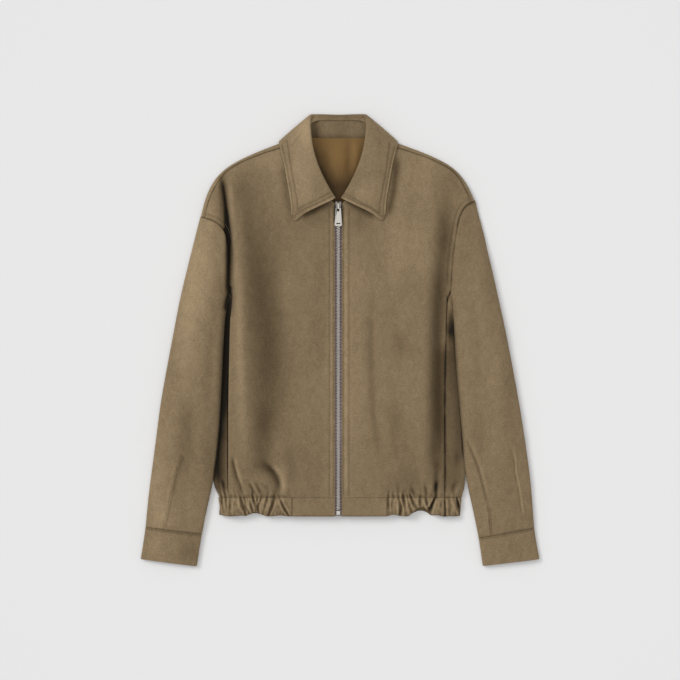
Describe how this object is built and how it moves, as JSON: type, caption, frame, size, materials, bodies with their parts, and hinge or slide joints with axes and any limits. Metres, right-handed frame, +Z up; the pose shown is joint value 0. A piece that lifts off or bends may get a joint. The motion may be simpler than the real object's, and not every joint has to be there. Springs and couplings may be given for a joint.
{
  "type": "suede jacket laid flat",
  "caption": "Zip-front suede jacket laid flat on its back, with a spread collar, long cuffed sleeves and a gathered elastic hem.",
  "frame": {"origin": "bottom centre of the whole jacket as it lies, on the surface under it", "axes": "+Y up the jacket from hem to collar, +X towards the wearer's left side, +Z up out of the surface that it lies on"},
  "size_m": [0.6988, 0.7914, 0.0351],
  "materials": {
    "suede": "brushed nap, matt, warm taupe",
    "lining_satin": "satin weave, soft sheen, golden brown",
    "zip_tape": "woven tape, matt, grey mauve",
    "zip_teeth": "nickel-plated teeth",
    "zip_metal": "polished nickel-plated die casting"
  },
  "bodies": {
    "jacket": {"front_right": "suede", "front_left": "suede", "back": "suede", "sleeve_right": "suede", "sleeve_left": "suede", "cuff_right": "suede", "cuff_left": "suede", "hem_tab_right": "suede", "hem_tab_left": "suede", "hem_band": "suede", "collar_leaf": "suede", "collar_stand": "suede", "lining_back": "lining_satin", "zip_tape_right": "zip_tape", "zip_tape_left": "zip_tape", "zip_chain": "zip_teeth", "zip_box": "zip_metal", "zip_slider": "zip_metal"},
    "zip_pull": {"zip_pull_tab": "zip_metal"}
  },
  "joints": [
    {"name": "pull_tab_hinge", "type": "hinge", "parent": "jacket", "child": "zip_pull", "pos_m": [-0.0029, 0.22959, 0.02466], "axis": [-1, 0, 0], "range_deg": [0, 135]}
  ]
}
